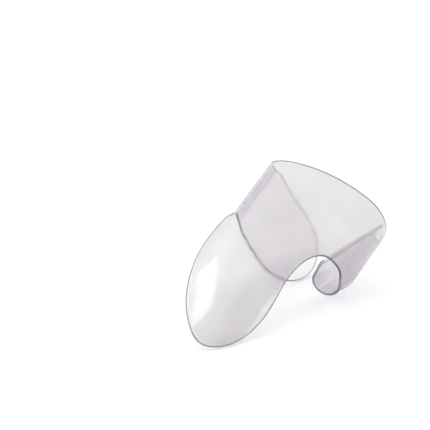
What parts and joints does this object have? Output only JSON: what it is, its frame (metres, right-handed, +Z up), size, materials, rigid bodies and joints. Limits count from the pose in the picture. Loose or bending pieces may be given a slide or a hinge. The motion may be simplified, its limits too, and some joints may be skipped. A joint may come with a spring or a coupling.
{
  "type": "cheek retractor",
  "caption": "Clear one-piece cheek retractor with an oval blade, an arched web, a lip flap folded under it and a tapered finger loop.",
  "frame": {"origin": "middle of the base of the part's box, as the part lies on a table on the blade's tip, the loop's mouth and the flap's tip", "axes": "+Z up from the table, +Y from the blade's tip towards the far rim of the web, +X towards the side with the finger loop"},
  "size_m": [0.0492, 0.0972, 0.0492],
  "materials": {
    "clear_plastic": "polished clear moulding with a faint lavender tint"
  },
  "bodies": {
    "root": {"retractor_moulding": "clear_plastic"}
  },
  "joints": []
}
